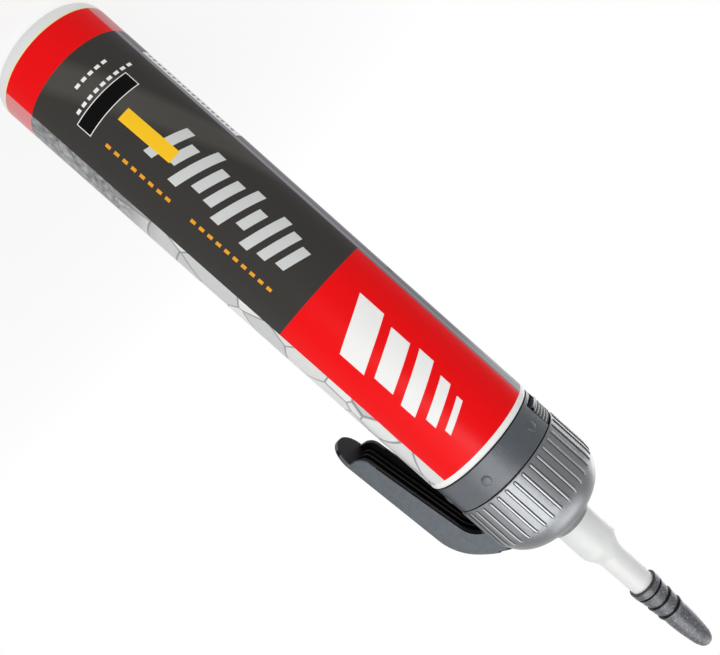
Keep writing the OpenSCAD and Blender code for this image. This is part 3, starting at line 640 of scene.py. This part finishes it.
# Lever: one moulding of dark satin plastic. Outside the knob it is a channel with a thin skin, two
# side walls and three low ribs, and it ends in a flat round tongue. Inside the knob it divides
# into a fork round the nozzle, with a pad and a trunnion on each arm.
skin_t, side_t, crown_r, crown_a, bend_r, lean = 1.8, 1.8, 41.0, 20.5, 19.8, 3.1
inner_slope, inner_bend_r, inner_lean = 21.3, 9.0, 6.6
tongue_z, lever_y, wall_top, yoke_low = pivot_z - 51.9, lever_w / 2, root_z - 3.4, pivot_z + 2.5


def ahead(p, heading, length):
    """The point a length further on in a heading, in degrees."""
    a = math.radians(heading)
    return np.array(p) + length * np.array([math.cos(a), math.sin(a)])


def bend(p, heading, r, a, n=24):
    """Points of a bend from p: it starts in the heading and turns right by the angle a."""
    h0, h = math.radians(heading), np.radians(heading - a * np.linspace(0, 1, n + 1)[1:])
    centre = np.array(p) + r * np.array([math.sin(h0), -math.cos(h0)])
    return centre + r * np.column_stack([-np.sin(h), np.cos(h)])


def outer_line(off):
    """The lever's outer line, drawn in by off, from the dome down past the tongue."""
    a = math.radians(root_slope)
    start = np.array([root_x, root_z]) - off * np.array([math.sin(a), math.cos(a)])
    brow = ahead(start, -root_slope, 2.1)
    crown = bend(brow, -root_slope, crown_r - off, crown_a)
    turn = bend(crown[-1], -root_slope - crown_a, bend_r - off, 90 - lean - root_slope - crown_a)
    down = (turn[-1][1] - tongue_z + lever_y) / math.cos(math.radians(lean))
    back = [root_x - 0.1, start[1] + (start[0] - root_x + 0.1) * slope]
    return np.concatenate([[back, brow], crown, turn, [ahead(turn[-1], lean - 90, down)]])


def inner_line(off):
    """The side walls' inner edge, drawn in towards the skin by off, to the round lower end."""
    a = math.radians(inner_slope)
    start = np.array([knob_r - 1.4, pivot_z + 1.4]) + off * np.array([math.sin(a), math.cos(a)])
    turn = bend(start, -inner_slope, inner_bend_r + off, 90 - inner_lean - inner_slope)
    down = (turn[-1][1] - tongue_z - 4.2) / math.cos(math.radians(inner_lean))
    low = ahead(turn[-1], inner_lean - 90, down)
    corner = bend(low, inner_lean - 90, off - 5, -72)
    foot = outer_line(skin_t / 2)[-2]
    end_z = corner[-1][1] - 0.6
    end = [foot[0] + (foot[1] - end_z) * math.tan(math.radians(lean)), end_z]
    return np.concatenate([[start], turn, [low], corner, [end]])


def spaced(points, stops):
    """Points at the given shares of a line's own length."""
    steps = np.hypot(*np.diff(points, axis=0).T)
    run = np.concatenate([[0], np.cumsum(steps)]) / steps.sum()
    return np.column_stack([np.interp(stops, run, points[:, k]) for k in (0, 1)])


def lever_skin():
    """A rounded strip along the outer line. Its half width is the lever's, less at the notch under
    the dome, and follows the round end below the tongue's centre."""
    tongue = 1 - 0.14 * np.cos(np.linspace(0.02, 1, 40) * np.pi / 2)
    share = np.concatenate([np.linspace(0, 0.86, 110), tongue])
    top, under = spaced(outer_line(0), share), spaced(outer_line(skin_t), share)
    drop = np.clip(tongue_z - top[:, 1], 0, lever_y)
    half = np.sqrt(np.maximum(lever_y ** 2 - drop ** 2, 0))
    half = np.where(top[:, 0] < knob_r + 0.5, fork_in, half)[:, None]
    edge, corner = np.minimum(0.45, half), np.radians(np.linspace(0, 90, 6))
    inset, fall = edge * (1 - np.cos(corner)), edge / skin_t * (1 - np.sin(corner))
    y = np.concatenate([-half, inset - half, half - inset[:, ::-1], half], 1)
    depth = np.concatenate([0 * half + 1, fall, fall[:, ::-1], 0 * half + 1], 1)
    at = top[:, None] + depth[..., None] * (under - top)[:, None]
    return np.stack([at[..., 0], y, at[..., 1]], -1)


def web(off, y0, y1, edge, finish=0):
    """A flat wall between the skin and the inner edge, drawn in by off. Its section is a rectangle
    with its two inner corners cut, and under the dome its top is level."""
    stops = np.linspace(0, 1, 120)
    inner = spaced(inner_line(off), stops)
    line = outer_line(skin_t / 2)
    upper = line[line[:, 1] > inner[-1, 1]]
    outer = spaced(np.concatenate([upper, inner[-1:]]), stops)
    top = root_z - 2.8
    outer[:, 1] = np.where(outer[:, 0] < knob_r + 0.5, np.minimum(outer[:, 1], top), outer[:, 1])
    span = inner - outer
    size = np.maximum(np.hypot(*span.T), 1e-6)
    cut_share = np.clip(edge / size, 0, 0.4)
    rows = []
    for share, y in ((0 * size, y0), (1 - cut_share, y0), (1 + 0 * size, y0 + edge),
                     (1 + 0 * size, y1 - edge), (1 - cut_share, y1), (0 * size, y1)):
        at = outer + share[:, None] * span
        rows.append(np.column_stack([at[:, 0], np.full(len(at), y), at[:, 1]]))
    return sleeve(np.array(rows).transpose(1, 0, 2), finish)


def satin_plastic():
    """Dark satin plastic: mottled in two tones, with fine dark specks over a fine bump."""
    material, tree, shader = new_material("lever_plastic")
    mottle = grain(tree, 700, 5.0)
    specks = grain(tree, 5200, 1.0)
    tone = blend(tree, mottle, paint((70, 76, 83)), paint((98, 104, 110)))
    tree.links.new(blend(tree, calc(tree, "MULTIPLY", specks, 0.3), tone, paint((50, 54, 60))),
                   shader.inputs["Base Color"])
    shader.inputs["Roughness"].default_value = 0.4
    shader.inputs["Specular IOR Level"].default_value = 0.22
    bumped(tree, shader, specks, 4e-5)
    return material


def fork_arm(side):
    """One arm of the fork from the yoke to the pivot, with its round pad, its hub and its trunnion."""
    y0, y1 = side * fork_in, side * fork_out
    pad_r, spigot_h, pad_gap = 2.0, 12.8, 0.15
    pad_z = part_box("valve_stem")[1].z / MM - spigot_h + pad_gap + pad_r
    arm_z, yoke = pad_z - 0.7, 14.0
    arm = [[yoke, yoke_low], [pad_r + 6, arm_z], [-pad_r - 6, arm_z],
           [-pivot_x, pivot_z - hub_r + 0.6], [-pivot_x, pivot_z + hub_r - 0.2],
           [-pad_r, arm_z + 5], [yoke, wall_top]]
    parts = [plate(arm, y0, y1, 1)]
    far = side * (fork_out + part_gap + ear_t - 0.1)
    for x, z, r, low, high in ((0, pad_z, pad_r, y0, y1), (-pivot_x, pivot_z, hub_r, y0, y1),
                               (-pivot_x, pivot_z, trunnion_r, side * (fork_out - 0.5), far)):
        a = turns(48)
        disc = np.column_stack([x + r * np.cos(a), z + r * np.sin(a)])
        points, faces, finish = plate(disc, low, high, 1)
        parts.append((kept_in(points, knob_t + 0.4), faces, finish))
    return parts


lever_parts = [sleeve(lever_skin())]
for side in (-1, 1):
    faces_y = sorted((side * (lever_y - side_t), side * (lever_y - 0.02)))
    lever_parts.append(web(0, *faces_y, 0.3))
    lever_parts += fork_arm(side)
rib_drop, rib_half = 2.0, 0.6
for y in np.array([-1, 0, 1]) * (lever_y - side_t) / 2:
    lever_parts.append(web(rib_drop, y - rib_half, y + rib_half, 0.15, 1))
yoke_plates = (
    ([[15, wall_top], [root_x + 0.4, wall_top], [root_x + 0.4, root_z - 0.8],
      [root_x + 4, root_z - 2.6], [root_x + 4, pivot_z + 5], [root_x, pivot_z + 2],
      [15, yoke_low]], fork_in),
    ([[12, yoke_low], [slot_x - 1.2, yoke_low], [slot_x - 1.2, wall_top], [12, wall_top]], fork_out),
    ([[slot_x - 1.3, yoke_low], [root_x + 2, pivot_z + 2], [root_x + 2, wall_top],
      [slot_x - 1.3, wall_top]], lever_y))
lever_parts += [plate(outline, -half, half, 1) for outline, half in yoke_plates]
lever = piece("squeeze_lever", lever_parts, "lever_body", ["lever"],
              [satin_plastic(), painted_shade_plastic], crease=38)
# The channel's walls and ribs, the skin's underside and the notch take the near-black painted shade.
polygons = lever.data.polygons
facing, middles = np.empty(3 * len(polygons), np.float32), np.empty(3 * len(polygons), np.float32)
finishes = np.empty(len(polygons), np.int32)
polygons.foreach_get("normal", facing)
polygons.foreach_get("center", middles)
polygons.foreach_get("material_index", finishes)
normal_x, normal_y = facing.reshape(-1, 3).T.astype(float)[:2]
x, y, z = middles.reshape(-1, 3).T.astype(float)
wall, outside = np.abs(normal_y) > 0.6, x > knob_r * MM
hollow = wall & outside & (np.abs(y) < (lever_y - side_t + 0.02) * MM) & (normal_x < 0.5)
under_skin = ~wall & outside & (normal_x < -0.3)
notch = wall & (x < (knob_r + 0.5) * MM) & (z > wall_top * MM)
polygons.foreach_set("material_index", np.where(hollow | under_skin | notch, 1, finishes))

# Nozzle: milky, slightly see-through plastic, moulded as a wide base with a rounded shoulder and
# a thin tube. It screws on the stem's spigot, and one low rib runs up its shoulder.
nozzle_z, tip_z = (c.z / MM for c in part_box("nozzle"))
base_top, tube_r, nozzle_t, spigot_r = nozzle_z + 36.2, 5.25, 1.5, 5.45
tube_z, seat_z = base_top + 6.3, nozzle_z + 60.87
seat_r, tip_end_r, bore_r = tube_r - 0.23, 2.6, 1.6
shoulder_low, round_r = base_top - 1.3, 4.5


def milky_plastic():
    """Milky plastic: light scatters a little below a satin surface with faint clouds."""
    material, tree, shader = new_material("nozzle_plastic")
    cloud = grain(tree, 260, 3.0, (1, 1, 0.25))
    tree.links.new(blend(tree, cloud, paint((220, 222, 221)), paint((233, 234, 232))),
                   shader.inputs["Base Color"])
    shader.inputs["Subsurface Weight"].default_value = 0.35
    shader.inputs["Subsurface Radius"].default_value = (1.0, 1.0, 1.0)
    shader.inputs["Subsurface Scale"].default_value = 0.002
    shader.inputs["Specular IOR Level"].default_value = 0.2
    shader.inputs["Roughness"].default_value = 0.42
    bumped(tree, shader, cloud, 6e-5)
    return material


nozzle_outline = np.concatenate([
    [[spigot_r, nozzle_z], [nozzle_r - 0.2, nozzle_z], [nozzle_r, nozzle_z + 0.2]],
    arc(nozzle_r - round_r, shoulder_low, round_r, 0, 35, 10),
    arc(tube_r + 4.4, base_top + 5.9, 4.2, 205, 180, 8),
    [[tube_r, tube_z + 0.4], [seat_r, seat_z], [seat_r - 0.72, seat_z + 0.7],
     [tip_end_r, tip_z - 0.6], [tip_end_r - 0.3, tip_z], [bore_r, tip_z],
     [seat_r - 0.72 - nozzle_t, seat_z + 1.2], [tube_r - nozzle_t, tube_z],
     [nozzle_r - nozzle_t, base_top - 0.6], [nozzle_r - nozzle_t, nozzle_z + 14.2],
     [spigot_r, nozzle_z + 13.6]]])


def shoulder_rib():
    """A low upright rib: a box of the rib's width, turned to its place round the nozzle."""
    a = math.radians(158)
    turn = np.array([[math.cos(a), -math.sin(a), 0], [math.sin(a), math.cos(a), 0], [0, 0, 1]])
    x0, x1, z0, z1 = nozzle_r - 2.2, nozzle_r - 0.05, shoulder_low - 1, shoulder_low + 2.4
    outline = [[x0, z0], [x1, z0], [x1, z1 - 0.4], [x1 - 0.4, z1], [x0, z1]]
    points, faces, finish = plate(outline, -0.5, 0.5)
    return points @ turn.T, faces, finish


piece("milky_nozzle", [skin(revolved(nozzle_outline, turns(144)), loop_rows=True), shoulder_rib()],
      "nozzle_body", ["nozzle"], [milky_plastic()], crease=40)

# Cap: a pointed thimble of dark speckled plastic, pushed onto the nozzle's tip. It has a lip, three
# raised rings over waists, a round tip, and a fine mould line along each side.
cap_z, cap_top = (c.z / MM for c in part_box("nozzle_cap"))
cap_r, lip_h, ring_pitch, body_r, tip_r = 6.2, 3.4, 5.0, 5.0, 3.4
first_ring, mouth_z = cap_z + lip_h + 1.15, cap_z + 0.6


def speckled_plastic():
    """Dark plastic with pale sparkling flecks, drawn out along the cap. It darkens in the shade of
    the lip's mouth and under each ring."""
    material, tree, shader = new_material("cap_plastic")
    flecks = grain(tree, 3200, 2.0, (1, 1, 0.45))
    bright = calc(tree, "MULTIPLY_ADD", flecks, 7.0, -3.9, clamp=True)
    tone = blend(tree, bright, paint((60, 62, 68)), paint((150, 152, 156)))
    height = place_mm(tree)[2]
    shades = [(cap_z - 1, mouth_z + 0.6)]
    shades += [(first_ring + ring_pitch * k - 1.0, first_ring + ring_pitch * k - 0.25) for k in range(3)]
    for low, high in shades:
        tone = blend(tree, between(tree, height, low, high, 0.3), tone, paint((14, 14, 16)))
    tree.links.new(tone, shader.inputs["Base Color"])
    shader.inputs["Roughness"].default_value = 0.34
    bumped(tree, shader, flecks, 5e-5)
    return material


def cap_surface():
    """The outline turned about Z. Along the mould line, at two opposite azimuths, the radius grows
    by a narrow bell curve of the distance round the cap."""
    rows = [[seat_r + 0.1, mouth_z], [cap_r - 0.15, mouth_z], [cap_r, mouth_z + 0.15],
            [cap_r, cap_z + lip_h - 0.2], [cap_r - 0.2, cap_z + lip_h],
            [cap_r - 0.5, cap_z + lip_h + 0.1]]
    for k in range(3):
        r, z = cap_r - 0.24 - 0.21 * k, first_ring + ring_pitch * k
        last = 0.35 if k == 2 else 0.0
        rows += [[r - 0.75, z - 0.9], [r - 0.7, z - 0.5], [r - 0.1, z - 0.42], [r, z - 0.25], [r, z],
                 [r - 0.1, z + 0.3], [r - 0.25, z + 0.8], [r - 0.33 - last, z + 2.4]]
    end_z, tip_c = first_ring + 2 * ring_pitch + 3.2, cap_top - tip_r
    rows += [[body_r, end_z]]
    s = np.linspace(0, 1, 9)[1:-1]
    side = np.column_stack([body_r + (tip_r - body_r) * s ** 1.5 + 0.1 * np.sin(np.pi * s),
                            end_z + (tip_c + 1.6 - end_z) * s])
    outer = np.concatenate([rows, side, arc(0, tip_c, tip_r, 28, 90, 12)])
    bore = [[0, tip_z + 1], [tip_end_r + 0.1, tip_z + 0.4], [seat_r - 0.62, seat_z + 0.9],
            [seat_r + 0.1, seat_z + 0.2]]
    angles = turns(240)
    grid = revolved(outer, angles)
    for azimuth in (-157, 23):
        off = np.abs((angles - math.radians(azimuth) + np.pi) % (2 * np.pi) - np.pi)
        ridge = 0.1 * np.exp(-((off[None, :] * outer[:, :1]) / 0.16) ** 2)
        ridge *= (outer[:, 0] > 3)[:, None]
        grid[..., 0] += ridge * np.cos(angles)
        grid[..., 1] += ridge * np.sin(angles)
    return skin(np.concatenate([grid, revolved(bore, angles)]), loop_rows=True)


piece("pointed_cap", [cap_surface()], "cap_body", ["nozzle_cap"],
      [speckled_plastic()], crease=32)

# Studio: a pale floor and a white room with soft lamps, two bright cards that only reflections see,
# and the camera where the photograph was taken, level with the upper half of the can and rolled so
# that the can lies across the picture.
camera_place = np.array([-106.8, -264.3, 144.1]) * MM
yaw, pitch, roll = np.radians([21.738, 1.410, 131.625])
forward = np.array([math.sin(yaw) * math.cos(pitch), math.cos(yaw) * math.cos(pitch), math.sin(pitch)])
right = np.array([math.cos(yaw), -math.sin(yaw), 0.0])
down = np.cross(forward, right)
image_right = math.cos(roll) * right - math.sin(roll) * down
image_down = math.sin(roll) * right + math.cos(roll) * down
turned = np.column_stack([image_right, -image_down, -forward, camera_place])
camera = bpy.data.objects.new("camera", bpy.data.cameras.new("camera"))
bpy.context.scene.collection.objects.link(camera)
focal_pixels, photo_width, sensor = 770.3, 720, 36.0
camera.data.sensor_width, camera.data.lens = sensor, focal_pixels / photo_width * sensor
camera.data.clip_start, camera.data.clip_end = 0.01, 20.0
camera.matrix_world = Matrix(np.vstack([turned, [0, 0, 0, 1]]).tolist())
bpy.context.scene.camera = camera
middle_of_object, middle_of_head = Vector((0, 0, 0.17)), Vector((0, 0, 0.24))


def seen_ray(tree):
    """1 for rays that show the background: camera, glossy and transmission rays."""
    path = node(tree, "LightPath")
    glossy = calc(tree, "MAXIMUM", path.outputs["Is Camera Ray"], path.outputs["Is Glossy Ray"])
    return calc(tree, "MAXIMUM", glossy, path.outputs["Is Transmission Ray"])


def show(tree, surface):
    """Links a shader to the material's output."""
    output = next(n for n in tree.nodes if n.type == "OUTPUT_MATERIAL")
    tree.links.new(surface, output.inputs["Surface"])


def rectangle(name, width, height, material):
    """A level rectangle round the origin."""
    mesh = bpy.data.meshes.new(name)
    corners = [(x * width / 2, y * height / 2, 0) for x, y in ((-1, -1), (1, -1), (1, 1), (-1, 1))]
    mesh.from_pydata(corners, [], [(0, 1, 2, 3)])
    mesh.materials.append(material)
    made = bpy.data.objects.new(name, mesh)
    bpy.context.scene.collection.objects.link(made)
    return made


def aimed(made, place, target, front):
    """Puts an object in its place and turns its front axis to the target."""
    made.location = place
    made.rotation_euler = (target - made.location).to_track_quat(front, "Y").to_euler()


world = bpy.data.worlds.new("studio")
bpy.context.scene.world = world
world.use_nodes = True
sky = world.node_tree
sky.nodes.clear()
strength = calc(sky, "MULTIPLY_ADD", seen_ray(sky), 0.5, 0.5)
background = node(sky, "Background", {"Color": (1, 1, 1, 1), "Strength": strength})
sky.links.new(background.outputs[0], node(sky, "OutputWorld").inputs["Surface"])


def pale_floor():
    """A matt floor that catches the shadow. Seen rays find it nearly white near the object, and
    fully white from a fade with the distance on, so that it meets the room without a line."""
    material, tree, shader = new_material("pale_floor")
    shader.inputs["Base Color"].default_value = (0.86, 0.86, 0.86, 1)
    shader.inputs["Roughness"].default_value = 0.9
    white_light = node(tree, "Emission", {"Color": (1, 1, 1, 1), "Strength": 1.0})
    place = node(tree, "TexCoord").outputs["Object"]
    away = node(tree, "VectorMath", {0: place}, operation="LENGTH").outputs["Value"]
    fade = calc(tree, "MULTIPLY_ADD", away, 2.0, -0.2, clamp=True)
    shown = calc(tree, "MULTIPLY", seen_ray(tree), calc(tree, "MULTIPLY_ADD", fade, 0.2, 0.8))
    mixed = node(tree, "MixShader", {0: shown, 1: shader.outputs[0], 2: white_light.outputs[0]})
    show(tree, mixed.outputs[0])
    return material


floor = rectangle("floor", 8, 8, pale_floor())


def softbox(name, place, size, power):
    """A square lamp that faces the middle of the object."""
    lamp = bpy.data.lights.new(name, "AREA")
    lamp.size, lamp.energy = size, power
    made = bpy.data.objects.new(name, lamp)
    bpy.context.scene.collection.objects.link(made)
    aimed(made, place, middle_of_object, "-Z")


def reflector(place, width, height, strength):
    """A bright card that faces the head. Only glossy surfaces see it, as a soft band."""
    material, tree, _ = new_material("reflector")
    show(tree, node(tree, "Emission", {"Color": (1, 1, 1, 1), "Strength": strength}).outputs[0])
    made = rectangle("reflector", width, height, material)
    aimed(made, place, middle_of_head, "Z")
    made.visible_camera = made.visible_diffuse = made.visible_shadow = False


reflector((0.14, -0.64, 0.62), 0.8, 0.7, 5.2)
reflector((-0.05, -0.1, 0.95), 0.5, 0.5, 4.0)
softbox("key", (-0.08, -0.95, 0.42), 0.36, 3.7)
softbox("fill", (0.8, -0.4, 0.3), 0.6, 1.2)
softbox("back", (-0.3, 0.8, 0.6), 0.6, 2.5)
bpy.context.scene.view_settings.view_transform = "Standard"
